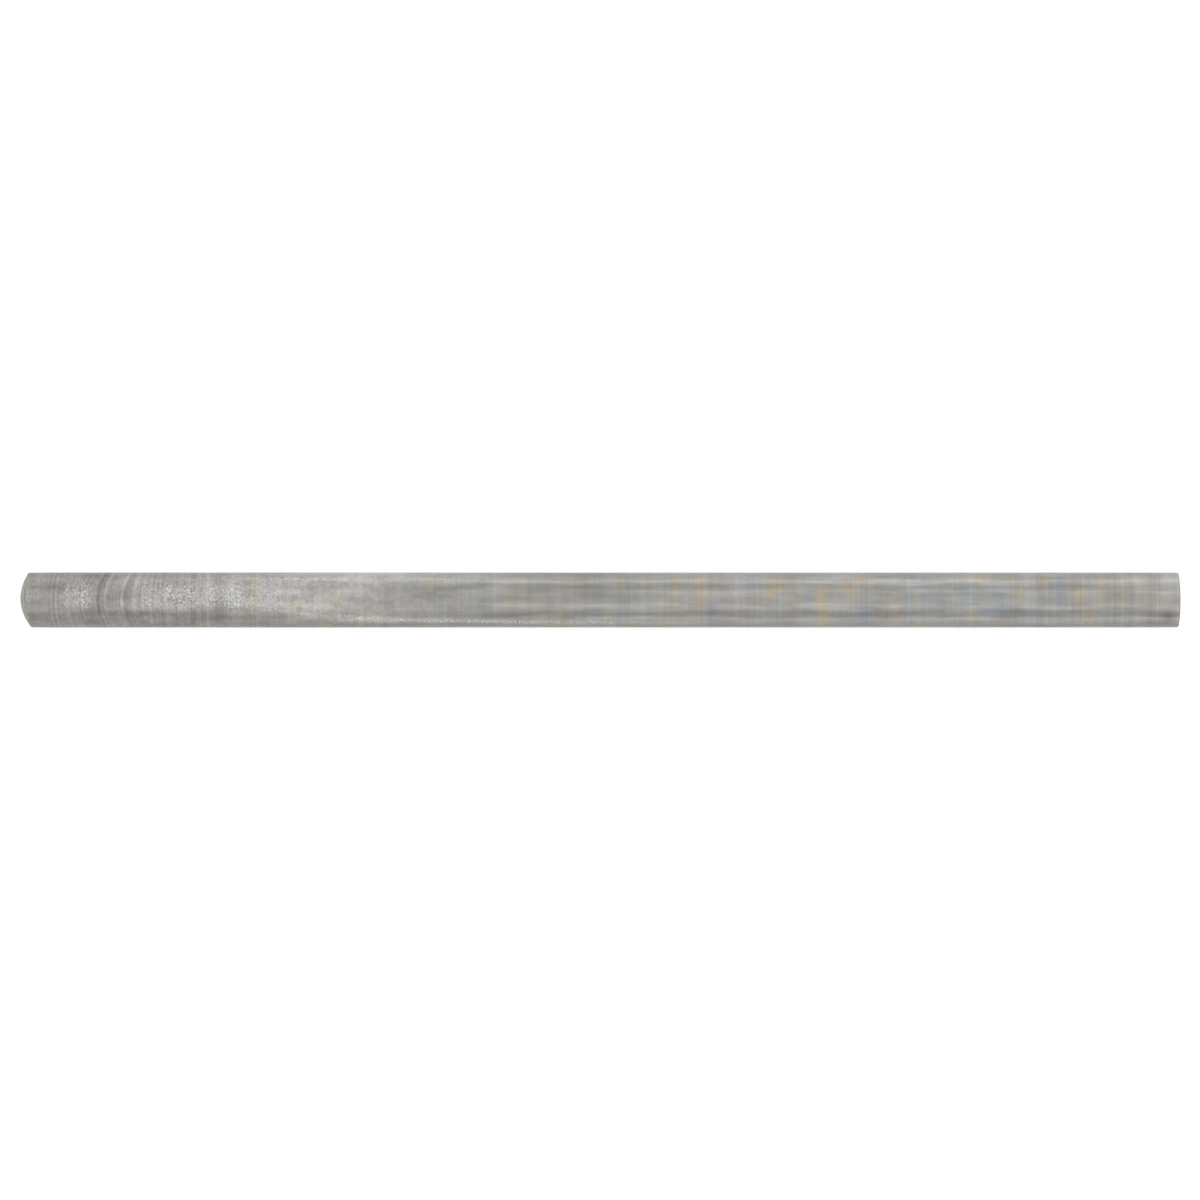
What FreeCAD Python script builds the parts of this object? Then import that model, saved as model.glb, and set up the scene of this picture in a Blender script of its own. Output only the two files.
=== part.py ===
"""Blending stump: a straight stick of tightly rolled soft paper, lying along X.

It is built the way the real one is rolled: a twisted paper pin, one long strip of soft paper wound
round it in a spiral, a thin hard cover paper pasted round the roll, and three lines of dried paste
where each paper starts or ends. The -X end is trimmed to a low crown, the +X end is cut square.
Millimetres, +Z up. The origin is under the middle of the stick, on the surface that it lies on.
"""

import FreeCAD, Part
import math
import os
import PartDesign
import Sketcher

from FreeCAD import Placement, Rotation, Vector

DRIVING_SIZES = [
    # alias, value, what it measures
    ("stumpLength", 133.35, "overall length, crown included: five and a quarter inches"),
    ("stumpDiameter", 6.35, "finished diameter over the cover: a quarter of an inch"),
    ("crownRise", 1.1, "how far the crown of the -X end stands out past its rim"),
    ("crownOffset", 0.2, "how far the crown's top lies to the +Y side of the stick's axis"),
    ("pinDiameter", 1.2, "twisted paper pin that the strip is wound on"),
    ("stripThickness", 0.25, "soft paper of the wound strip"),
    ("turnGap", 0.05, "least gap from one turn of the strip to the next"),
    ("featherEdge", 0.05, "thickness that the strip's two ends are skived down to"),
    ("coverThickness", 0.12, "hard cover paper"),
    ("seamWidth", 0.12, "gap between the cover's two butted edges"),
    ("seamAngle", 250.0, "degrees round from the top towards -Y to the cover's seam"),
    ("seamRecess", 0.03, "how far the paste in the seam lies below the cover's face"),
    ("trimMargin", 1.0, "how far the trimming tool reaches past the stick"),
]

document = FreeCAD.newDocument("blending_stump")


def make_sheet():
    """The spreadsheet that holds every driving size, one row each."""
    sheet = document.addObject("Spreadsheet::Sheet", "Sizes")
    for row, (alias, value, meaning) in enumerate(DRIVING_SIZES, start=1):
        sheet.set(f"A{row}", str(value))
        sheet.setAlias(f"A{row}", alias)
        sheet.set(f"B{row}", meaning)
    document.recompute()
    return sheet


def bind(piece, **expressions):
    """Binds properties to expressions on the sheet. A double underscore stands for a dot."""
    for name, expression in expressions.items():
        piece.setExpression(name.replace("__", "."), expression)


sizes = make_sheet()
ALONG_X = Rotation(Vector(0, 1, 0), 90)  # turns a primitive's own Z axis to +X
AXIS_HEIGHT = "Sizes.stumpDiameter / 2"
ROLL_RADIUS = "(Sizes.stumpDiameter / 2 - Sizes.coverThickness)"
CROWN_RADIUS = "((Sizes.stumpDiameter / 2)^2 + Sizes.crownRise^2) / (2 * Sizes.crownRise)"


# ---- the trim: what the shaping wheel takes off round the crown at the -X end ----


def make_crown_trim():
    """A block round the -X end with a ball taken out of it: what is left is cut from every piece."""
    block = document.addObject("Part::Box", "trim_block")
    bind(
        block,
        Length="2 * Sizes.crownRise + Sizes.trimMargin",
        Width="Sizes.stumpDiameter + 2 * Sizes.trimMargin",
        Height="Sizes.stumpDiameter + 2 * Sizes.trimMargin",
        Placement__Base__x="-Sizes.stumpLength / 2 - Sizes.trimMargin",
        Placement__Base__y="-Sizes.stumpDiameter / 2 - Sizes.trimMargin",
        Placement__Base__z="-Sizes.stumpDiameter / 2 - Sizes.trimMargin",
    )
    ball = document.addObject("Part::Sphere", "trim_ball")
    bind(
        ball,
        Radius=CROWN_RADIUS,
        Placement__Base__x=f"-Sizes.stumpLength / 2 + {CROWN_RADIUS}",
        Placement__Base__y="Sizes.crownOffset",
    )
    trim = document.addObject("Part::Cut", "crown_trim")
    trim.Base = block
    trim.Tool = ball
    return trim


crown_trim = make_crown_trim()


def trimmed(blank, label):
    """One finished sub-part: a blank made round the X axis, trimmed to the crown and lifted."""
    piece = document.addObject("Part::Cut", label)
    piece.Label = label
    piece.Base = blank
    piece.Tool = crown_trim
    bind(piece, Placement__Base__z=AXIS_HEIGHT)
    return piece


# ---- core_pin: a narrow slip of paper twisted hard into a solid pin ----


def make_core_pin():
    blank = document.addObject("Part::Cylinder", "pin_blank")
    blank.Placement = Placement(Vector(), ALONG_X)
    bind(
        blank,
        Radius="Sizes.pinDiameter / 2",
        Height="Sizes.stumpLength",
        Placement__Base__x="-Sizes.stumpLength / 2",
    )
    return trimmed(blank, "core_pin")


# ---- the wound strip, and the paste in the two wedges beside its skived ends ----


class Winding:
    """The roll's section across X. Its spiral is drawn as half circles about two centres that lie a
    quarter of a pitch each side of the axis, so the radius grows by half a pitch every half turn.
    The pitch is stretched from the least one until a whole number of half turns fills the roll."""

    def __init__(self):
        self.pin_radius = sizes.pinDiameter / 2
        self.roll_radius = sizes.stumpDiameter / 2 - sizes.coverThickness
        self.thickness = sizes.stripThickness
        self.start_radius = self.pin_radius + sizes.featherEdge - self.thickness
        growth = self.roll_radius - sizes.featherEdge - self.start_radius
        least_pitch = self.thickness + sizes.turnGap
        self.half_turns = math.floor(2 * growth / least_pitch)
        self.pitch = 2 * growth / self.half_turns

    def point(self, half_turn, outward):
        """Where a face of the strip crosses the Y axis, after a number of half turns."""
        radius = self.start_radius + outward + half_turn * self.pitch / 2
        side = 1 if half_turn % 2 == 0 else -1
        return Vector(0, side * radius, 0)

    def path(self, first, last, outward):
        """The half circles of one face of the strip, from half turn first to half turn last."""
        arcs = []
        for half_turn in range(first, last):
            begin = self.point(half_turn, outward)
            end = self.point(half_turn + 1, outward)
            middle = (begin + end) / 2
            rise = begin.distanceToPoint(end) / 2
            side = 1 if half_turn % 2 == 0 else -1
            crest = middle + Vector(0, 0, side * rise)
            arcs.append(Part.Arc(begin, crest, end).toShape())
        return arcs

    def one_turn_face(self, first, outward):
        """All that lies inside one full turn of a face, closed along the Y axis."""
        arcs = self.path(first, first + 2, outward)
        step = Part.makeLine(self.point(first + 2, outward), self.point(first, outward))
        return Part.Face(Part.Wire(arcs + [step]))

    def strip_face(self):
        inner = self.path(0, self.half_turns, 0)
        outer = self.path(0, self.half_turns, self.thickness)
        start = Part.makeLine(self.point(0, 0), self.point(0, self.thickness))
        tail = Part.makeLine(
            self.point(self.half_turns, 0), self.point(self.half_turns, self.thickness)
        )
        band = Part.Face(Part.Wire(Part.sortEdges(inner + outer + [start, tail])[0]))
        return band.common(disc(self.roll_radius)).cut(disc(self.pin_radius))

    def start_face(self):
        """The wedge that the first turn leaves open beside the strip's start."""
        return self.one_turn_face(0, 0).cut(disc(self.pin_radius))

    def tail_face(self):
        """The wedge between the last full turn and the cover, beside the strip's tail."""
        return disc(self.roll_radius).cut(
            self.one_turn_face(self.half_turns - 2, self.thickness)
        )


def disc(radius):
    circle = Part.makeCircle(radius, Vector(), Vector(1, 0, 0))
    return Part.Face(Part.Wire(circle))


def roll_piece(face, label):
    """A section of the roll carried along the whole stick, then trimmed."""
    blank = document.addObject("Part::Feature", f"{label}_blank")
    length = sizes.stumpLength
    blank.Shape = face.Faces[0].extrude(Vector(length, 0, 0))
    blank.Placement = Placement(Vector(-length / 2, 0, 0), Rotation())
    return trimmed(blank, label)


# ---- cover_wrap and seam_paste: one turn of hard, thin paper whose edges meet in a hairline seam ----


def own_plane(body, role):
    for feature in body.Origin.OriginFeatures:
        if feature.Role == role:
            return feature
    raise LookupError(role)


def add_circle(sketch, name, radius):
    index = sketch.addGeometry(Part.Circle(Vector(), Vector(0, 0, 1), 1.0))
    sketch.addConstraint(Sketcher.Constraint("Coincident", index, 3, -1, 1))
    size = sketch.addConstraint(Sketcher.Constraint("Radius", index, 1.0))
    sketch.renameConstraint(size, name)
    sketch.setExpression(f"Constraints.{name}", radius)


def make_tube(name, outer_radius, inner_radius):
    """A tube of the stick's length, padded both ways from the plane across its middle."""
    body = document.addObject("PartDesign::Body", name)
    sketch = body.newObject("Sketcher::SketchObject", f"{name}_section")
    sketch.AttachmentSupport = (own_plane(body, "YZ_Plane"), "")
    sketch.MapMode = "FlatFace"
    add_circle(sketch, "outerRadius", outer_radius)
    add_circle(sketch, "innerRadius", inner_radius)
    pad = body.newObject("PartDesign::Pad", f"{name}_pad")
    pad.Profile = sketch
    pad.Midplane = True
    bind(pad, Length="Sizes.stumpLength")
    return body


def make_seam_blade(name):
    """A thin blade from the stick's axis out through the cover, at the seam."""
    blade = document.addObject("Part::Box", f"{name}_blade")
    bind(
        blade,
        Length="Sizes.stumpLength + 2 * Sizes.trimMargin",
        Width="Sizes.seamWidth",
        Height="Sizes.stumpDiameter / 2 + Sizes.trimMargin",
        Placement__Base__x="-Sizes.stumpLength / 2 - Sizes.trimMargin",
        Placement__Base__y="-Sizes.seamWidth / 2",
    )
    turned = document.addObject("Part::Compound", name)
    turned.Links = [blade]
    turned.Placement = Placement(Vector(), Rotation(Vector(1, 0, 0), sizes.seamAngle))
    return turned


def make_cover():
    """The cover and its seam's paste, which fills the slit between the edges up to the recess."""
    blade = make_seam_blade("seam_slit")
    tube = make_tube("cover_tube", "Sizes.stumpDiameter / 2", ROLL_RADIUS)
    cover_blank = document.addObject("Part::Cut", "cover_blank")
    cover_blank.Base = tube
    cover_blank.Tool = blade
    filling = make_tube(
        "paste_tube", "Sizes.stumpDiameter / 2 - Sizes.seamRecess", ROLL_RADIUS
    )
    paste_blank = document.addObject("Part::Common", "seam_paste_blank")
    paste_blank.Base = filling
    paste_blank.Tool = blade
    return [trimmed(cover_blank, "cover_wrap"), trimmed(paste_blank, "seam_paste")]


# ---- the stick, from the inside out ----

winding = Winding()
sub_parts = [
    make_core_pin(),
    roll_piece(winding.start_face(), "start_paste"),
    roll_piece(winding.strip_face(), "wound_strip"),
    roll_piece(winding.tail_face(), "tail_paste"),
    *make_cover(),
]
document.recompute()


def refuse_faults():
    """Stops the build if any object failed, or a sub-part isn't one sound solid."""
    for item in document.Objects:
        if "Invalid" in item.State or "Error" in item.State:
            raise RuntimeError(f"{item.Label} failed: {item.State}")
    for piece in sub_parts:
        shape = piece.Shape
        if shape.isNull() or not shape.isValid() or len(shape.Solids) != 1:
            raise RuntimeError(f"{piece.Label} isn't one valid solid")


refuse_faults()
os.makedirs("parts", exist_ok=True)
for piece in sub_parts:
    piece.Shape.exportStep(f"parts/{piece.Label}.step")
    print(f"{piece.Label}: {piece.Shape.Volume:.2f} mm3")
print(f"{winding.half_turns / 2} turns of the strip, {winding.pitch:.3f} mm apart")
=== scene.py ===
"""A blending stump: a straight stick of tightly rolled grey paper with a burnished hard cover.

The stick lies along X, its low crown at -X and its square cut at +X. The sections follow the way it is
rolled, from the twisted pin outwards. Lengths are metres, and MM turns millimetres into them.
"""

import math

import bpy
import numpy as np
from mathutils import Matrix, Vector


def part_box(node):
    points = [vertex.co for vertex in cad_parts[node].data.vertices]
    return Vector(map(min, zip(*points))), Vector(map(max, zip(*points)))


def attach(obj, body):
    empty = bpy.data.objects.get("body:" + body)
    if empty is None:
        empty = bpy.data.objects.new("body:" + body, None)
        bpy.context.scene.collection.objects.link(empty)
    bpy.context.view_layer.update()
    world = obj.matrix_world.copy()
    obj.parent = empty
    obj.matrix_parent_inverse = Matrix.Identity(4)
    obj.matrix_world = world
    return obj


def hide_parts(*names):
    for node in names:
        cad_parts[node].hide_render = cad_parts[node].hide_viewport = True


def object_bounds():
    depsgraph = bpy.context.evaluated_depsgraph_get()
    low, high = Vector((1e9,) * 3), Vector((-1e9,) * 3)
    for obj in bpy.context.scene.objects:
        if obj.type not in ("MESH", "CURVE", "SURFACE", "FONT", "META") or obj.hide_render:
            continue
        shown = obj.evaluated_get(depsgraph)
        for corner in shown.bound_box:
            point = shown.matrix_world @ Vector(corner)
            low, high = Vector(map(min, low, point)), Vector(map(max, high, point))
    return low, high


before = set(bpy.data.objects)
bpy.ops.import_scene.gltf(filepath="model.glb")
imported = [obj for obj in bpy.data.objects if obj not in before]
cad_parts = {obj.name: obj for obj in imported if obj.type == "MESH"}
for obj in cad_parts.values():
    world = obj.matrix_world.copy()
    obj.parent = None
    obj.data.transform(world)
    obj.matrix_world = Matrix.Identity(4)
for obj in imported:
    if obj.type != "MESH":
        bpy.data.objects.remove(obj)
cad_low, cad_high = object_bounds()

# ---- The core pin: a narrow slip of grey paper, damped and twisted hard until it holds as a rod. The
# strip is started on it, and only its two ends show, as a small coil in the middle of each face.

MM = 0.001
pin_low, pin_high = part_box("core_pin")
pin_radius = (pin_high.y - pin_low.y) / 2
axis_height = (pin_high.z + pin_low.z) / 2
square_end = cad_high.x
crown_top = cad_low.x
stick_radius = (cad_high.y - cad_low.y) / 2
crown_rise = 1.1 * MM
crown_offset = 0.2 * MM
crown_radius = (stick_radius**2 + crown_rise**2) / (2 * crown_rise)


def crown_face(y, z):
    """Where a line along X meets the crown, a ball's face: x = top + ball - sqrt(ball² - reach²), with
    reach the line's distance from the ball's centre. z is measured from the stick's axis."""
    reach_squared = (y - crown_offset) ** 2 + z**2
    return crown_top + crown_radius - np.sqrt(crown_radius**2 - reach_squared)


def between_ends(y, z, into_crown, into_cut, stations):
    """Lines along X from the crown to the square cut, as stations × the shape of y and z. A station
    is its distance from the crown as a share of the line. Each end is lowered by its own relief,
    which dies away as exp(-distance / 0.09 mm)."""
    share = np.asarray(stations).reshape(-1, *[1] * np.ndim(y))
    start = crown_face(y, z)
    x = start + (square_end - start) * share
    fade = 0.09 * MM
    x = x + into_crown * np.exp(-(x - start) / fade) - into_cut * np.exp(-(square_end - x) / fade)
    lines = np.broadcast_arrays(x, y[None], axis_height + z[None])
    return np.stack(lines, -1)


def end_stations(count):
    """Shares of the stick's length: four close to each end, and a count of even ones between."""
    stick = square_end - crown_top
    close = np.array([0, 0.03, 0.08, 0.16]) * MM / stick
    even = np.linspace(0.4 * MM / stick, 1 - 0.4 * MM / stick, count)
    return np.concatenate([close, even, 1 - close[::-1]])


def wander(position, spacing, seed):
    """A smooth random line between 0 and 1: one seeded value at each spacing, joined by the weight
    3f² - 2f³, where f is how far the position lies from one value to the next."""
    steps = np.asarray(position) / spacing
    cell = np.floor(steps).astype(int)
    part = steps - cell
    first = cell.min()
    values = np.random.default_rng(seed).random(cell.max() - first + 2)
    weight = part * part * (3 - 2 * part)
    return values[cell - first] * (1 - weight) + values[cell - first + 1] * weight


def block(name, points, **marks):
    """A closed skin round a grid of points that is stations × across × layers. Only the six outer
    faces of the grid are kept, as quads, and turned outwards if their volume comes out negative.
    Each mark is a number for every point, kept as an attribute of that name."""
    sizes = points.shape[:3]
    index = np.arange(np.prod(sizes)).reshape(sizes)
    quads = []
    for axis in range(3):
        for end, turned in ((0, True), (-1, False)):
            side = np.take(index, end, axis=axis)
            corners = [side[:-1, :-1], side[1:, :-1], side[1:, 1:], side[:-1, 1:]]
            if turned == (axis != 1):
                corners.reverse()
            quads.append(np.stack(corners, -1).reshape(-1, 4))
    quads = np.concatenate(quads)
    used, faces = np.unique(quads, return_inverse=True)
    faces = faces.reshape(-1, 4)
    skin = points.reshape(-1, 3)[used]
    a, b, c, d = (skin[faces[:, corner]] for corner in range(4))
    volume = np.sum(np.cross(b - a, c - a) * a) + np.sum(np.cross(c - a, d - a) * a)
    if volume < 0:
        faces = faces[:, ::-1]
    mesh = bpy.data.meshes.new(name)
    mesh.from_pydata(skin, [], faces)
    mesh.polygons.foreach_set("use_smooth", np.ones(len(faces), bool))
    mesh.set_sharp_from_angle(angle=math.radians(35))
    for mark, values in marks.items():
        layer = mesh.attributes.new(mark, "FLOAT", "POINT")
        layer.data.foreach_set("value", np.broadcast_to(values, sizes).ravel()[used])
    mesh.validate()
    piece = bpy.data.objects.new(name, mesh)
    bpy.context.scene.collection.objects.link(piece)
    return piece


def pin_points():
    """A square grid pressed into a disc: across × sqrt(1 - up²/2), up × sqrt(1 - across²/2). The rim
    has two low lobes that turn once in 7 mm, which is the twist. Each end is cupped, with one spiral
    groove 0.05 mm deep, bottoming where the distance from the middle has grown by a fold."""
    side = np.linspace(-1, 1, 45)
    across, up = np.meshgrid(side, side, indexing="ij")
    y = pin_radius * across * np.sqrt(1 - up**2 / 2)
    z = pin_radius * up * np.sqrt(1 - across**2 / 2)
    reach, angle = np.hypot(y, z), np.arctan2(y, z)
    fold = 0.2 * MM
    groove = (0.5 + 0.5 * np.cos(2 * math.pi * reach / fold - angle)) ** 4
    groove = groove * np.clip(reach / fold, 0, 1)
    cup = 0.03 * MM * (1 - (reach / pin_radius) ** 2)
    relief = 0.05 * MM * groove + cup
    points = between_ends(y, z, relief, relief, end_stations(160))
    twist = np.cos(2 * (angle[None] - 2 * math.pi * points[..., 0] / (7 * MM)))
    squeeze = 1 - 0.035 * (0.5 + 0.5 * twist)
    points[..., 1] *= squeeze
    points[..., 2] = axis_height + (points[..., 2] - axis_height) * squeeze
    return points, groove[None]


points, groove = pin_points()
pin = block("twisted_pin", points, groove=groove)
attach(pin, "root")
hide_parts("core_pin")


def linear(colour):
    """An sRGB hex colour such as "a09e99" as the linear red, green, blue, alpha that nodes take."""
    channels = np.array([int(colour[k : k + 2], 16) / 255 for k in (0, 2, 4)])
    low, high = channels / 12.92, ((channels + 0.055) / 1.055) ** 2.4
    return (*np.where(channels <= 0.04045, low, high), 1.0)


def add(material, kind, inputs=(), **settings):
    """Adds a node. Settings are its properties. Inputs pair a socket's name or number with a plain
    value or with the socket that feeds it."""
    tree = material.node_tree
    node = tree.nodes.new(kind)
    for name, value in settings.items():
        setattr(node, name, value)
    for socket, value in dict(inputs).items():
        if isinstance(value, bpy.types.NodeSocket):
            tree.links.new(value, node.inputs[socket])
        else:
            node.inputs[socket].default_value = value
    return node


def empty_material(name):
    material = bpy.data.materials.new(name)
    material.use_nodes = True
    material.node_tree.nodes.clear()
    return material


def twisted_paper():
    """Soft unsized paper pulled tight by the twist. Its spiral groove is coloured darker, so the eye
    gets a darker thread winding round a pale one, with no shine. Fibre bundles are about 0.15 mm
    across."""
    material = empty_material("hard_twisted_unsized_paper")
    place = add(material, "ShaderNodeTexCoord").outputs["Object"]
    bundle = 0.15 * MM
    fibres = add(
        material,
        "ShaderNodeTexNoise",
        {"Vector": place, "Scale": 1 / bundle, "Detail": 4.0, "Roughness": 0.65},
    ).outputs["Fac"]
    lit = add(
        material,
        "ShaderNodeMix",
        {0: fibres, 6: linear("716e69"), 7: linear("b4b0a8")},
        data_type="RGBA",
    ).outputs[2]
    groove = add(material, "ShaderNodeAttribute", attribute_name="groove").outputs["Fac"]
    colour = add(
        material,
        "ShaderNodeMix",
        {0: groove, 6: lit, 7: linear("45423d")},
        data_type="RGBA",
    ).outputs[2]
    bump = add(
        material, "ShaderNodeBump", {"Height": fibres, "Distance": 0.02 * MM, "Strength": 0.8}
    )
    shader = add(
        material,
        "ShaderNodeBsdfPrincipled",
        {
            "Base Color": colour,
            "Roughness": 0.85,
            "IOR": 1.45,
            "Sheen Weight": 0.2,
            "Sheen Roughness": 0.6,
            "Normal": bump.outputs[0],
        },
    )
    add(material, "ShaderNodeOutputMaterial", {"Surface": shader.outputs[0]})
    return material


pin.data.materials.append(twisted_paper())

# ---- The start paste: a smear of starch paste that tacks the strip's first edge to the pin. It dried
# hard in the thin wedge under the first turn, and shows as a sliver beside the pin on each face.

strip_thickness = 0.25 * MM
feather_edge = 0.05 * MM
least_gap = 0.05 * MM
cover_thickness = 0.12 * MM
roll_radius = stick_radius - cover_thickness
start_radius = pin_radius + feather_edge - strip_thickness
growth = roll_radius - feather_edge - start_radius
half_turns = math.floor(2 * growth / (strip_thickness + least_gap) + 1e-6)
pitch = 2 * growth / half_turns


def spiral(turned, outward):
    """The strip's inner face, or one lifted outward from it, after a number of half turns. It is a
    chain of half circles about two centres that lie a quarter of a pitch each side of the axis, so
    the radius grows by half a pitch every half turn. Half turn 0 starts at +Y and goes over the top.
    What would lie inside the pin or outside the roll is pressed back to its face."""
    whole = np.clip(np.floor(turned), 0, half_turns - 1)
    centre = np.where(whole % 2 == 0, -pitch / 4, pitch / 4)
    radius = start_radius + outward + (whole + 0.5) * pitch / 2
    y = centre + radius * np.cos(math.pi * turned)
    z = radius * np.sin(math.pi * turned)
    reach = np.hypot(y, z)
    pressed = np.clip(reach, pin_radius, roll_radius) / reach
    return y * pressed, z * pressed


def paste_wedge(name, turned, low_face, high_face):
    """Paste between two faces of the roll, each given as y and z at every half turn. The layers are
    straight blends from one face to the other. Both ends shrank 0.02 mm as they dried."""
    layer = np.linspace(0, 1, 4)
    y = low_face[0][:, None] * (1 - layer) + high_face[0][:, None] * layer
    z = low_face[1][:, None] * (1 - layer) + high_face[1][:, None] * layer
    shrunk = 0.02 * MM + 0.015 * MM * wander(turned * 40, 3.0, 31)[:, None] + 0 * y
    wedge = block(name, between_ends(y, z, shrunk, shrunk, end_stations(40)))
    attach(wedge, "root")
    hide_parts(name.replace("_wedge", "_paste"))
    return wedge


# The wedge starts where the first turn has lifted 0.006 mm off the pin: paste feathers out there.
thinnest = 0.006 * MM
turned = np.linspace(0, 2 - 1e-6, 2000)
lifted = np.hypot(*spiral(turned, 0)) > pin_radius + thinnest
turned = np.linspace(turned[lifted][0], turned[-1], 40)
first_turn = spiral(turned, 0)
pin_reach = pin_radius / np.hypot(*first_turn)
start = paste_wedge(
    "start_wedge", turned, (first_turn[0] * pin_reach, first_turn[1] * pin_reach), first_turn
)


def dried_paste():
    """Starch paste dries to a brittle, faintly yellow film. It is clear enough to glow a little at a
    thin edge, and glossy with fine shrinkage ripples about 0.3 mm apart."""
    material = empty_material("dried_starch_paste")
    place = add(material, "ShaderNodeTexCoord").outputs["Object"]
    ripple = 0.3 * MM
    ripples = add(
        material,
        "ShaderNodeTexNoise",
        {"Vector": place, "Scale": 1 / ripple, "Detail": 2.0, "Distortion": 0.6},
    ).outputs["Fac"]
    colour = add(
        material,
        "ShaderNodeMix",
        {0: ripples, 6: linear("877e6b"), 7: linear("bdb49d")},
        data_type="RGBA",
    ).outputs[2]
    gloss = add(
        material, "ShaderNodeMapRange", {"Value": ripples, "To Min": 0.25, "To Max": 0.5}
    ).outputs[0]
    bump = add(
        material, "ShaderNodeBump", {"Height": ripples, "Distance": 0.01 * MM, "Strength": 0.7}
    )
    shader = add(
        material,
        "ShaderNodeBsdfPrincipled",
        {
            "Base Color": colour,
            "Roughness": gloss,
            "IOR": 1.53,
            "Subsurface Weight": 0.25,
            "Subsurface Scale": 0.1 * MM,
            "Normal": bump.outputs[0],
        },
    )
    add(material, "ShaderNodeOutputMaterial", {"Surface": shader.outputs[0]})
    return material


paste = dried_paste()
start.data.materials.append(paste)

# ---- The wound strip: one long strip of soft grey felt-like paper, wound round the pin on a mandrel
# under tension. Both its edges are skived thin, and its coil is what shows on the stick's two faces.


def smooth(value, low, high):
    """0 below low and 1 above high, joined by 3f² - 2f³."""
    f = np.clip((value - low) / (high - low), 0, 1)
    return f * f * (3 - 2 * f)


def strip_points():
    """The strip as stations × half turns × layers, each layer a straight blend from its inner face to
    its outer one. The thickness swells by up to 0.045 mm where the paper is loose. On each end the
    ply's edge is rounded, 0.035 mm lower at its two faces by (2 layer - 1)⁴, and no two turns were
    cut to quite the same height."""
    turned = np.linspace(0, half_turns, half_turns * 40 + 1)[:, None]
    layer = np.linspace(0, 1, 7)[None, :]
    swell = 0.045 * MM * wander(turned, 0.21, 44) * smooth(half_turns - turned, 0.5, 2.5)
    inner = spiral(turned, 0)
    outer = spiral(turned, strip_thickness + swell)
    y = inner[0] * (1 - layer) + outer[0] * layer
    z = inner[1] * (1 - layer) + outer[1] * layer
    rounded = 0.035 * MM * (2 * layer - 1) ** 4
    sanded = 0.02 * MM * wander(turned, 0.23, 41) + 0.02 * MM * wander(turned + layer, 0.06, 45)
    cut = 0.03 * MM * wander(turned, 1.7, 42) + 0.02 * MM * wander(turned - layer, 0.07, 43)
    return between_ends(y, z, rounded + sanded, rounded + cut, end_stations(8)), turned, layer


points, turned, layer = strip_points()
strip = block("spiral_strip", points, turned=turned + 0 * layer, ply=layer + 0 * turned)
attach(strip, "root")
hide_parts("wound_strip")


def soft_paper():
    """Soft, thick, unsized rag paper, the kind that takes up charcoal. Its cut edge is a nap of short
    fibres, so the eye gets a dull, mottled grey with pale hairs and dark specks, browner where the
    plies' faces press together. Its hairs are about 0.07 mm across, its tufts 0.5 mm."""
    material = empty_material("soft_unsized_rag_paper")
    place = add(material, "ShaderNodeTexCoord").outputs["Object"]
    hair = 0.07 * MM
    tuft = 0.5 * MM
    hairs = add(
        material,
        "ShaderNodeTexNoise",
        {"Vector": place, "Scale": 1 / hair, "Detail": 4.0, "Roughness": 0.75, "Distortion": 1.6},
    ).outputs["Fac"]
    tufts = add(
        material, "ShaderNodeTexNoise", {"Vector": place, "Scale": 1 / tuft, "Detail": 2.0}
    ).outputs["Fac"]
    mottled = add(
        material,
        "ShaderNodeMix",
        {0: tufts, 6: linear("686660"), 7: linear("a3a19a")},
        data_type="RGBA",
    ).outputs[2]
    # Pale hairs stand where the fine noise is high.
    pale = add(
        material, "ShaderNodeMapRange", {"Value": hairs, "From Min": 0.48, "From Max": 0.72}
    ).outputs[0]
    haired = add(
        material,
        "ShaderNodeMix",
        {0: pale, 6: mottled, 7: linear("c4c1b9")},
        data_type="RGBA",
    ).outputs[2]
    # The two faces of a ply, where layer is near 0 or 1, are glazed a little darker by the winding.
    layer = add(material, "ShaderNodeAttribute", attribute_name="ply").outputs["Fac"]
    from_middle = add(
        material, "ShaderNodeMath", {0: layer, 1: 0.5}, operation="SUBTRACT"
    ).outputs[0]
    face = add(material, "ShaderNodeMath", {0: from_middle}, operation="ABSOLUTE").outputs[0]
    pressed = add(
        material, "ShaderNodeMapRange", {"Value": face, "From Min": 0.28, "From Max": 0.5}
    ).outputs[0]
    colour = add(
        material,
        "ShaderNodeMix",
        {0: pressed, 6: haired, 7: linear("504d47")},
        data_type="RGBA",
    ).outputs[2]
    bump = add(
        material, "ShaderNodeBump", {"Height": hairs, "Distance": 0.03 * MM, "Strength": 0.9}
    )
    shader = add(
        material,
        "ShaderNodeBsdfPrincipled",
        {
            "Base Color": colour,
            "Roughness": 0.9,
            "IOR": 1.45,
            "Sheen Weight": 0.3,
            "Sheen Roughness": 0.5,
            "Normal": bump.outputs[0],
        },
    )
    add(material, "ShaderNodeOutputMaterial", {"Surface": shader.outputs[0]})
    return material


strip.data.materials.append(soft_paper())

# ---- The tail paste: what holds the strip's outer edge down. It fills the wedge that the edge leaves
# under the cover, and shows on each face as a sliver just inside the cover.

turned = np.linspace(half_turns - 2 + 1e-6, half_turns, 2000)
below_cover = np.hypot(*spiral(turned, strip_thickness)) < roll_radius - thinnest
turned = np.linspace(turned[0], turned[below_cover][-1], 60)
last_turn = spiral(turned, strip_thickness)
roll_reach = roll_radius / np.hypot(*last_turn)
tail = paste_wedge(
    "tail_wedge", turned, last_turn, (last_turn[0] * roll_reach, last_turn[1] * roll_reach)
)
tail.data.materials.append(paste)

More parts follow.
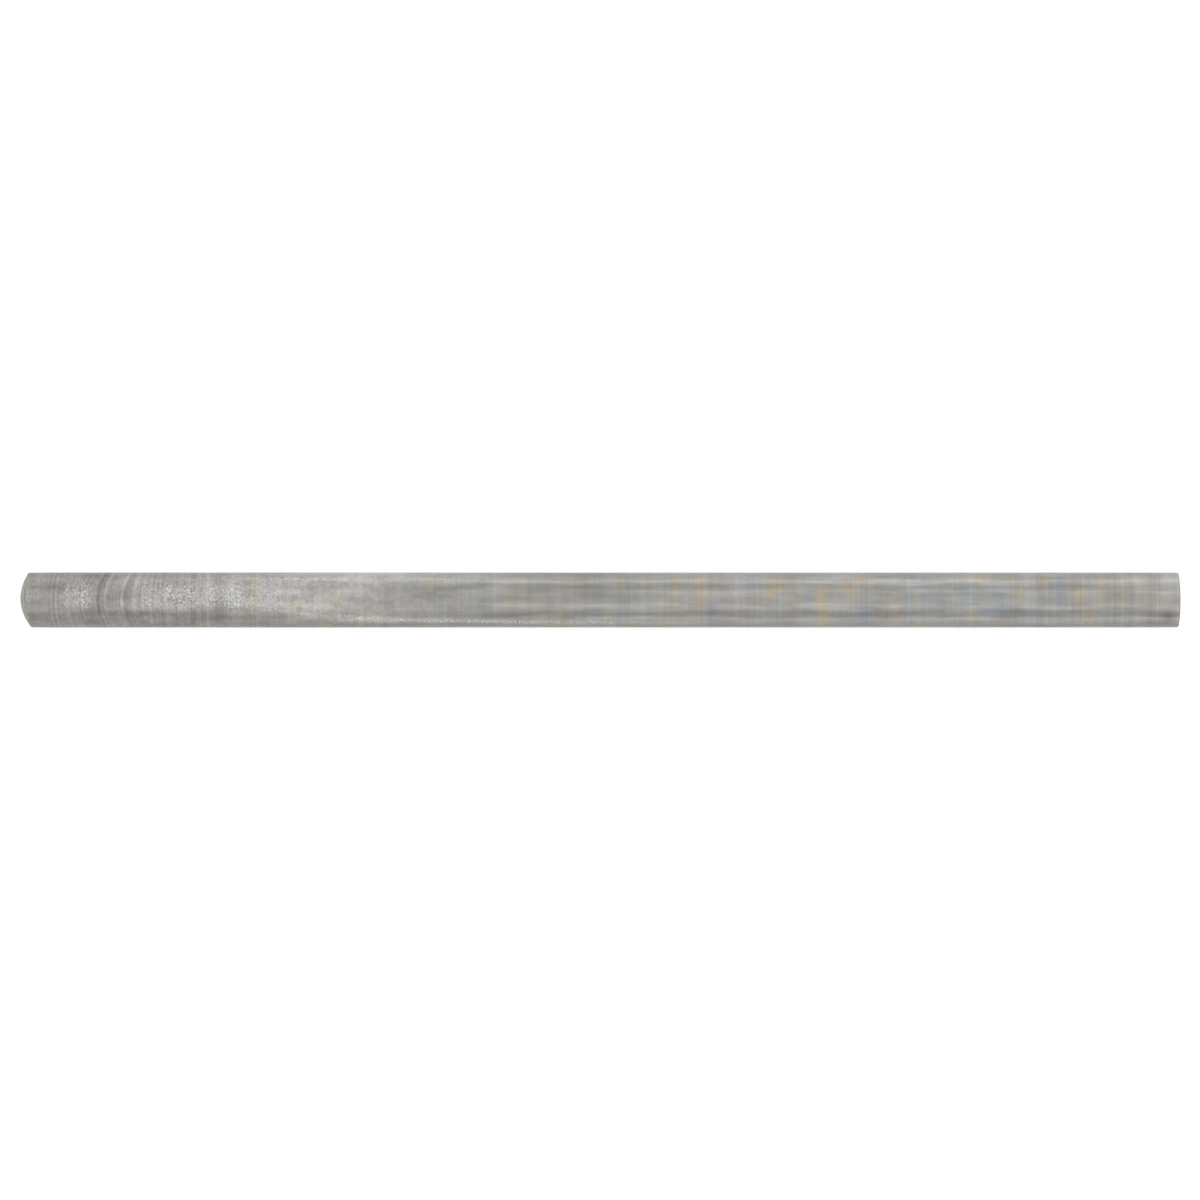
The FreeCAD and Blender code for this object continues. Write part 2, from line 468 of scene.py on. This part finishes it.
# ---- The cover: one turn of thin hard paper pasted round the roll. It was calendered in the mill,
# then burnished on a wheel while the stick was turned, which laid its fibres in fine rings and left a
# satin glaze, thickest over the middle. Its two edges meet in a hairline seam on the far side.

seam_width = 0.12 * MM
seam_angle = math.radians(-250)  # from the top towards +Y


def hump(value, middle, half_width):
    """1 at the middle, falling off as exp(-(distance / half width)²)."""
    return np.exp(-(((value - middle) / half_width) ** 2))


def cover_points():
    """The cover as stations × around × layers. The radius of its face is the stick's, less a few
    micrometres of wander along X (the burnished rings) and a dip of 15 micrometres that dies away
    0.3 mm from the seam. Its outer edge is turned in at both ends over 0.08 mm."""
    half_slit = seam_width / 2 / stick_radius
    angle = seam_angle + np.linspace(half_slit, 2 * math.pi - half_slit, 73)[:, None]
    depth = np.array([[0.0, 1.0]])
    radius = stick_radius - depth * cover_thickness
    y, z = radius * np.sin(angle), radius * np.cos(angle)
    none = 0 * y
    points = between_ends(y, z, none, none, end_stations(532))
    x = points[..., 0]
    to_end = np.minimum(x - x[:1], x[-1:] - x)
    turned_in = 0.03 * MM * np.clip(1 - to_end / (0.08 * MM), 0, 1) ** 2
    rings = 0.004 * MM * wander(x, 0.9 * MM, 11)
    swells = 0.006 * MM * wander(x + 0.4 * MM * np.cos(angle), 2.6 * MM, 12)
    from_seam = stick_radius * np.minimum(angle - seam_angle, 2 * math.pi - angle + seam_angle)
    dip = 0.015 * MM * hump(from_seam, 0, 0.3 * MM)
    face = radius - (1 - depth) * (turned_in + rings + swells + dip)
    points[..., 1] = face * np.sin(angle)
    points[..., 2] = axis_height + face * np.cos(angle)
    return points, angle


def cover_marks(x, angle):
    """What the wheel and the fingers left on the cover, with painted highlights, painted shade and
    painted glints, each a number for every point. along is millimetres from the crown, side the sine
    of the angle from the top: 1 at the +Y side, -1 at the -Y side. Each mark is a sum or product of
    soft steps and humps in the two."""
    along = (x - crown_top) / MM
    side = np.sin(angle)
    top = smooth(np.cos(angle), -0.3, 0.2)
    near_crown = 1 - smooth(along, 28, 44)

    # The painted highlight band ends at an edge that slopes down the -Y side, from 25 degrees below
    # the top near the crown to 56 further on, and near the crown the paper below it is painted darker
    # and browner, a painted shade.
    edge = -0.43 - 0.4 * smooth(along, 22, 42) + 0.06 * (wander(along, 2.3, 22) - 0.5)
    highlight_band = smooth(side, edge - 0.1, edge + 0.08) * top
    painted_shade_near_crown = (1 - highlight_band) * (1 - smooth(along, 24, 46)) * top
    # Painted highlights make it palest a quarter of the way along, over the band, and at 45 mm towards
    # the +Y side.
    painted_highlight = hump(along, 34, 12) * highlight_band + 0.7 * hump(along, 45, 9) * smooth(side, 0.55, 0.85)
    # Two finger smudges, a thumb's shade by the crown and a small print near the square cut, where
    # the +Y side was wiped paler.
    smudge = hump(along, 46, 6) * hump(side, 0.3, 0.3) + 1.1 * hump(along, 65, 7) * hump(
        side, 0.45, 0.4
    )
    thumb = hump(along, 4.5, 3) * hump(side, 0.4, 0.25)
    small_print = hump(along, 131.9, 0.65) * hump(side, -0.58, 0.25)
    wiped = smooth(along, 130.5, 132) * smooth(side, -0.2, 0.4)
    # The wheel's first touch skidded, so its rings bow towards the crown by 0.9 mm at the top.
    bow = 0.9 * smooth(along, 2, 8) * (1 - smooth(along, 11, 18))
    ring_place = along + bow * np.clip(np.cos(angle), 0, None) ** 2
    scuffs = wander(ring_place, 0.4, 23) ** 3 * hump(along, 9.6, 3.5) * smooth(side, -0.6, -0.3)
    scrapes = wander(ring_place, 0.4, 24) ** 3 * hump(along, 13.5, 3.5) * smooth(side, -0.5, -0.2)
    # Both sides are painted darker towards their edges, a painted shade, the -Y side more.
    painted_side_shade = 0.16 * smooth(np.abs(side), 0.72, 0.95) + 0.12 * smooth(-side, 0.6, 0.9)
    # The tone sums the finger marks, the wheel's scuffs and scrapes, the painted highlights and the
    # painted shades.
    painted_light_and_marks = 0.5 + 0.26 * painted_highlight - 0.2 * painted_shade_near_crown - 0.25 * smudge * top
    painted_light_and_marks = painted_light_and_marks + (0.22 * wiped - 0.17 * thumb - 0.4 * small_print) * top
    painted_light_and_marks = painted_light_and_marks + (0.45 * scrapes - 0.34 * scuffs) * top - painted_side_shade * (1 - 0.7 * near_crown)
    # Near the crown it is a little darker, and the +Y side is painted darker still, a painted shade.
    painted_light_and_marks = painted_light_and_marks - near_crown * (0.03 + 0.15 * smooth(side, 0.25, 0.6))

    # Painted glints, carried by nap and fibres: bright specks at the trimmed edge, in a patch along
    # the top near the crown, and in a line at each of the painted highlight band's two edges.
    glint_zone = smooth(along, 12, 16) * (1 - smooth(along, 24, 38)) + 1.2 * hump(along, 6.9, 1.5)
    glint_zone = glint_zone + 0.8 * hump(along, 1.1, 0.5)
    nap = glint_zone * smooth(side, -0.45, -0.1) * (1 - smooth(side, 0.35, 0.85)) * highlight_band
    nap = nap * (0.35 + 0.65 * wander(ring_place, 0.75, 25))
    glint_line_side = -0.84 + 0.66 * np.exp(-(along - 25.6) / 11.5)
    glint_line = hump(side, glint_line_side, 0.05) * smooth(along, 24, 28) * (1 - smooth(along, 50, 85))
    upper_glint_line = hump(side, 0.76, 0.05) * hump(along, 33, 11)
    fibres = np.clip(nap + 0.9 * glint_line + 0.9 * upper_glint_line, 0, 1) * top

    # The wheel's rings are plainest behind the crown, where it pressed on hardly glazed paper.
    ringed = 0.36 + 0.85 * smooth(along, 1, 4) * (1 - smooth(along, 15, 34))
    ringed = ringed + 0.2 * smooth(along, 112, 122)
    # Stains show from 20 mm on, more past the middle, and fade near the square cut.
    stained = 0.55 * smooth(along, 16, 24) - 0.2 * hump(along, 50, 10)
    stained = stained + 0.45 * smooth(along, 66, 78) - 0.7 * smooth(along, 120, 129)
    stained = stained * (0.55 + 0.45 * smooth(np.cos(angle), 0.1, 0.6))

    return {
        "painted_light_and_marks": painted_light_and_marks,
        "painted_glints": fibres,
        "ring_place": ring_place,
        "ringed": ringed,
        "graphite": smooth(along, 34, 60),
        "stained": stained,
    }


points, angle = cover_points()
cover = block("burnished_cover", points, **cover_marks(points[..., 0], angle))
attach(cover, "root")
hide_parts("cover_wrap")


def fill_ramp(ramp, stops):
    """Gives a new colour ramp its stops, each a place from 0 to 1 and a linear colour, in rising
    order. Its own two stops become the first and the last."""
    elements = ramp.color_ramp.elements
    elements[0].position, elements[0].color = stops[0]
    elements[-1].position, elements[-1].color = stops[-1]
    for place, colour in stops[1:-1]:
        elements.new(place).color = colour


def cover_paper():
    """Calendered paper burnished to a satin glaze. The eye gets broad soft highlights along the stick,
    fine rings across it from the wheel, painted glints of bright specks laid round it where the glaze
    is thin, a painted highlight and painted shade in its base colour, and faint warm and cool stains.
    The wheel's lines are about 0.05 mm apart, too fine to show, so they are drawn 0.3 mm apart."""
    material = empty_material("calendered_burnished_paper")
    place = add(material, "ShaderNodeTexCoord").outputs["Object"]
    marks = {
        name: add(material, "ShaderNodeAttribute", attribute_name=name).outputs["Fac"]
        for name in ("painted_light_and_marks", "painted_glints", "ring_place", "ringed", "graphite", "stained")
    }

    # Fine and broad rings: noise along one line, the distance from the crown in millimetres.
    fine_rings = add(
        material,
        "ShaderNodeTexNoise",
        {"W": marks["ring_place"], "Scale": 1 / 0.3, "Detail": 2.0, "Roughness": 0.7},
        noise_dimensions="1D",
    ).outputs["Fac"]
    broad_rings = add(
        material,
        "ShaderNodeTexNoise",
        {"W": marks["ring_place"], "Scale": 1 / 1.6, "Detail": 2.0, "Roughness": 0.6},
        noise_dimensions="1D",
    ).outputs["Fac"]

    # Five fields of noise. Each gives how long its cells are along the stick and how wide across it,
    # in millimetres, how many radians they slant, and the noise's own settings.
    fields = {}
    for name, length, width, slant, settings in (
        ("streaks", 9, 0.22, 0, {"Detail": 2.0}),  # fibres that lie along the stick
        ("clouds", 5, 1.2, 0, {"Detail": 3.0}),  # where the pulp was uneven
        ("waves", 6, 1.4, 0, {"Detail": 0.6}),  # where the cover follows the soft roll
        ("stains", 1.9, 4.6, 0.6, {"Detail": 2.0}),  # slanted bands about 2 mm wide
        # The nap noise places the single specks of the painted glints.
        ("nap", 0.12, 0.24, 0, {"Detail": 3.0, "Roughness": 0.7}),  # single fibre ends
    ):
        cells = (1 / (length * MM), 1 / (width * MM), 1 / (width * MM))
        stretched = add(
            material,
            "ShaderNodeMapping",
            {"Vector": place, "Rotation": (0, 0, slant), "Scale": cells},
        ).outputs[0]
        fields[name] = add(
            material, "ShaderNodeTexNoise", {"Vector": stretched, "Scale": 1.0, **settings}
        ).outputs["Fac"]

    # The base colour: from brown-grey, where finger marks and painted shade lower the tone, to pale
    # grey, where the painted highlight raises it.
    neutral = linear("959390")
    base = add(material, "ShaderNodeValToRGB", {"Fac": marks["painted_light_and_marks"]})
    fill_ramp(base, [(0.0, linear("6f6963")), (0.5, neutral), (1.0, linear("b6b2af"))])

    # Stains: cool at one end of their noise and warm at the other, with nothing in the middle.
    cool, warm = linear("8392a2"), linear("ad9868")
    stain_colour = add(material, "ShaderNodeValToRGB", {"Fac": fields["stains"]})
    fill_ramp(stain_colour, [(0.34, cool), (0.45, neutral), (0.55, neutral), (0.66, warm)])
    stain_share = add(
        material, "ShaderNodeMath", {0: marks["stained"], 1: 0.34}, operation="MULTIPLY"
    ).outputs[0]
    stained = add(
        material,
        "ShaderNodeMix",
        {0: stain_share, 6: base.outputs[0], 7: stain_colour.outputs[0]},
        data_type="RGBA",
    ).outputs[2]

    # The graphite in the glaze makes it a shade greener away from the crown.
    greened = add(
        material,
        "ShaderNodeMix",
        {0: marks["graphite"], 6: stained, 7: linear("fefffd")},
        data_type="RGBA",
        blend_type="MULTIPLY",
    ).outputs[2]

    # The rings, streaks and clouds each lighten or darken it, by factors close to 1.
    ring_depth = add(
        material, "ShaderNodeMath", {0: marks["ringed"], 1: 0.6}, operation="MULTIPLY"
    ).outputs[0]
    both_rings = add(
        material, "ShaderNodeMath", {0: fine_rings, 1: broad_rings}, operation="ADD"
    ).outputs[0]
    centred_rings = add(
        material, "ShaderNodeMath", {0: both_rings, 1: 1.0}, operation="SUBTRACT"
    ).outputs[0]
    ring_value = add(
        material,
        "ShaderNodeMath",
        {0: centred_rings, 1: ring_depth, 2: 1.0},
        operation="MULTIPLY_ADD",
    ).outputs[0]
    streak_value = add(
        material,
        "ShaderNodeMapRange",
        {
            "Value": fields["streaks"],
            "From Min": 0.3,
            "From Max": 0.7,
            "To Min": 0.973,
            "To Max": 1.027,
        },
    ).outputs[0]
    cloud_value = add(
        material,
        "ShaderNodeMapRange",
        {
            "Value": fields["clouds"],
            "From Min": 0.3,
            "From Max": 0.7,
            "To Min": 0.84,
            "To Max": 1.16,
        },
    ).outputs[0]
    # Mottling: tufts 0.6 mm across, plain where the glaze is thin and faint under the graphite.
    tufts = add(
        material,
        "ShaderNodeTexNoise",
        {"Vector": place, "Scale": 1 / (0.6 * MM), "Detail": 3.0, "Roughness": 0.7},
    ).outputs["Fac"]
    bare = add(
        material,
        "ShaderNodeMapRange",
        {"Value": marks["graphite"], "To Min": 0.85, "To Max": 0.18},
    ).outputs[0]
    centred_tufts = add(
        material, "ShaderNodeMath", {0: tufts, 1: 0.5}, operation="SUBTRACT"
    ).outputs[0]
    tuft_value = add(
        material,
        "ShaderNodeMath",
        {0: centred_tufts, 1: bare, 2: 1.0},
        operation="MULTIPLY_ADD",
    ).outputs[0]
    value = ring_value
    for share in (streak_value, tuft_value, cloud_value):
        value = add(
            material, "ShaderNodeMath", {0: value, 1: share}, operation="MULTIPLY"
        ).outputs[0]
    toned = add(
        material, "ShaderNodeHueSaturation", {"Color": greened, "Value": value}
    ).outputs[0]

    # Painted glints: bright specks laid round the stick wherever the painted glint marks are raised.
    painted_glints = add(
        material,
        "ShaderNodeMapRange",
        {"Value": fields["nap"], "From Min": 0.5, "From Max": 0.6},
    ).outputs[0]
    bright = add(
        material, "ShaderNodeMath", {0: painted_glints, 1: marks["painted_glints"]}, operation="MULTIPLY"
    ).outputs[0]
    colour = add(
        material,
        "ShaderNodeMix",
        {0: bright, 6: toned, 7: linear("e2e0dc")},
        data_type="RGBA",
    ).outputs[2]

    # The glaze: smoother, and greyer with graphite, away from where the fingers held it.
    gloss = add(
        material,
        "ShaderNodeMapRange",
        {"Value": marks["graphite"], "To Min": 0.4, "To Max": 0.2},
    ).outputs[0]
    metal = add(
        material,
        "ShaderNodeMapRange",
        {"Value": marks["graphite"], "To Min": 0.24, "To Max": 0.42},
    ).outputs[0]
    swells = add(
        material,
        "ShaderNodeBump",
        {"Height": fields["waves"], "Distance": 0.15 * MM, "Strength": 1.0},
    )
    height = add(
        material, "ShaderNodeMath", {0: fine_rings, 1: fields["streaks"]}, operation="ADD"
    ).outputs[0]
    bump = add(
        material,
        "ShaderNodeBump",
        {
            "Height": height,
            "Distance": 0.004 * MM,
            "Strength": 0.6,
            "Normal": swells.outputs[0],
        },
    )
    shader = add(
        material,
        "ShaderNodeBsdfPrincipled",
        {
            "Base Color": colour,
            "Metallic": metal,
            "Roughness": gloss,
            "IOR": 1.35,
            "Specular Tint": linear("bcbcbc"),
            "Normal": bump.outputs[0],
        },
    )
    add(material, "ShaderNodeOutputMaterial", {"Surface": shader.outputs[0]})
    return material


cover.data.materials.append(cover_paper())

# ---- The seam paste: the thread of paste squeezed up between the cover's two edges and wiped off. It
# dried a little below the cover's face, with a hollow top.

seam_recess = 0.03 * MM


def seam_points():
    """The bead as stations × across × layers. Its foot follows the roll and its top lies below the
    cover's face by the recess, plus a hollow of 8 micrometres × (1 - across²) and some wander."""
    across = np.linspace(-1, 1, 7)[:, None]
    layer = np.linspace(0, 1, 3)[None, :]
    offset = across * seam_width / 2
    foot = np.sqrt(roll_radius**2 - offset**2)
    top = np.sqrt((stick_radius - seam_recess) ** 2 - offset**2) - 0.008 * MM * (1 - across**2)
    out = foot + (top - foot) * layer
    y = out * math.sin(seam_angle) + offset * math.cos(seam_angle)
    z = out * math.cos(seam_angle) - offset * math.sin(seam_angle)
    shrunk = 0.02 * MM + 0 * y
    points = between_ends(y, z, shrunk, shrunk, end_stations(300))
    sunk = layer * 0.012 * MM * wander(points[..., 0], 1.3 * MM, 51)
    points[..., 1] -= sunk * math.sin(seam_angle)
    points[..., 2] -= sunk * math.cos(seam_angle)
    return points


seam = block("seam_bead", seam_points())
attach(seam, "root")
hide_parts("seam_paste")
seam.data.materials.append(paste)

# ---- The studio: a plain pale table lit a little from within, soft light from above and from both
# sides, and a camera straight above the stick.


def table_top():
    """A flat square, 12 m across, just under the stick."""
    reach = 6.0
    level = cad_low.z - 0.02 * MM
    mesh = bpy.data.meshes.new("table_top")
    corners = [(-reach, -reach), (reach, -reach), (reach, reach), (-reach, reach)]
    mesh.from_pydata([(*corner, level) for corner in corners], [], [(0, 1, 2, 3)])
    table = bpy.data.objects.new("table_top", mesh)
    bpy.context.scene.collection.objects.link(table)
    return table


def table_acrylic():
    """Opal acrylic over a faint lamp: white, matt and nearly without shadow."""
    material = empty_material("opal_acrylic")
    shader = add(
        material,
        "ShaderNodeBsdfPrincipled",
        {
            "Base Color": linear("d8d8d7"),
            "Roughness": 0.9,
            "IOR": 1.3,
            "Emission Color": linear("ffffff"),
            "Emission Strength": 0.5,
        },
    )
    add(material, "ShaderNodeOutputMaterial", {"Surface": shader.outputs[0]})
    return material


table_top().data.materials.append(table_acrylic())


def studio_room():
    """Light from long soft boxes that run beside the stick. Each level is an angle from straight up,
    in degrees towards +Y, and the light that comes from there. The ramp holds it as a share of the
    brightest level allowed for, which is the background's strength."""
    brightest = 3.0

    def white(level):
        """A level of light as a grey, its share of the brightest."""
        return (*[level / brightest] * 3, 1.0)

    world = bpy.data.worlds.new("studio_room")
    bpy.context.scene.world = world
    world.use_nodes = True
    world.node_tree.nodes.clear()
    direction = add(world, "ShaderNodeTexCoord").outputs["Generated"]
    parts = add(world, "ShaderNodeSeparateXYZ", {0: direction})
    lean = add(
        world,
        "ShaderNodeMath",
        {0: parts.outputs["Y"], 1: parts.outputs["Z"]},
        operation="ARCTAN2",
    ).outputs[0]
    turn = add(
        world,
        "ShaderNodeMapRange",
        {"Value": lean, "From Min": -math.pi, "From Max": math.pi},
    ).outputs[0]
    ramp = add(world, "ShaderNodeValToRGB", {"Fac": turn})
    levels = [
        (-180, 0.8),
        (-90, 1.8),
        (-82, 1.3),
        (-72, 0.55),
        (-52, 0.5),
        (-42, 1.1),
        (-24, 1.75),
        (-8, 1.05),
        (8, 1.05),
        (22, 1.25),
        (34, 1.65),
        (46, 0.95),
        (64, 0.75),
        (78, 1.6),
        (90, 2.6),
        (180, 0.8),
    ]
    wall_level = 1.15
    fill_ramp(ramp, [(0.5 + degrees / 360, white(level)) for degrees, level in levels])
    ramp.color_ramp.interpolation = "EASE"
    # Towards the room's two end walls, +X and -X, the boxes fade into plain white paint.
    along_room = add(
        world, "ShaderNodeMath", {0: parts.outputs["X"]}, operation="ABSOLUTE"
    ).outputs[0]
    end_wall = add(
        world, "ShaderNodeMapRange", {"Value": along_room, "From Min": 0.6, "From Max": 0.92}
    ).outputs[0]
    seen = add(
        world,
        "ShaderNodeMix",
        {0: end_wall, 6: ramp.outputs["Color"], 7: white(wall_level)},
        data_type="RGBA",
    ).outputs[2]
    light = add(world, "ShaderNodeBackground", {"Color": seen, "Strength": brightest})
    add(world, "ShaderNodeOutputWorld", {"Surface": light.outputs[0]})


studio_room()

camera_data = bpy.data.cameras.new("camera")
camera = bpy.data.objects.new("camera", camera_data)
bpy.context.scene.collection.objects.link(camera)
bpy.context.scene.camera = camera
# It looks straight down from five stick lengths up, 0.1 mm off the middle towards the square cut.
camera_height = 5 * (square_end - crown_top)
camera.location = (0.1 * MM, 0, axis_height + camera_height)
camera_data.sensor_width = 36
# A fiftieth of the view stays free past each end of the stick, and the whole table is in reach.
camera_data.lens = 173.6
camera_data.clip_end = 20
bpy.context.scene.view_settings.view_transform = "Standard"
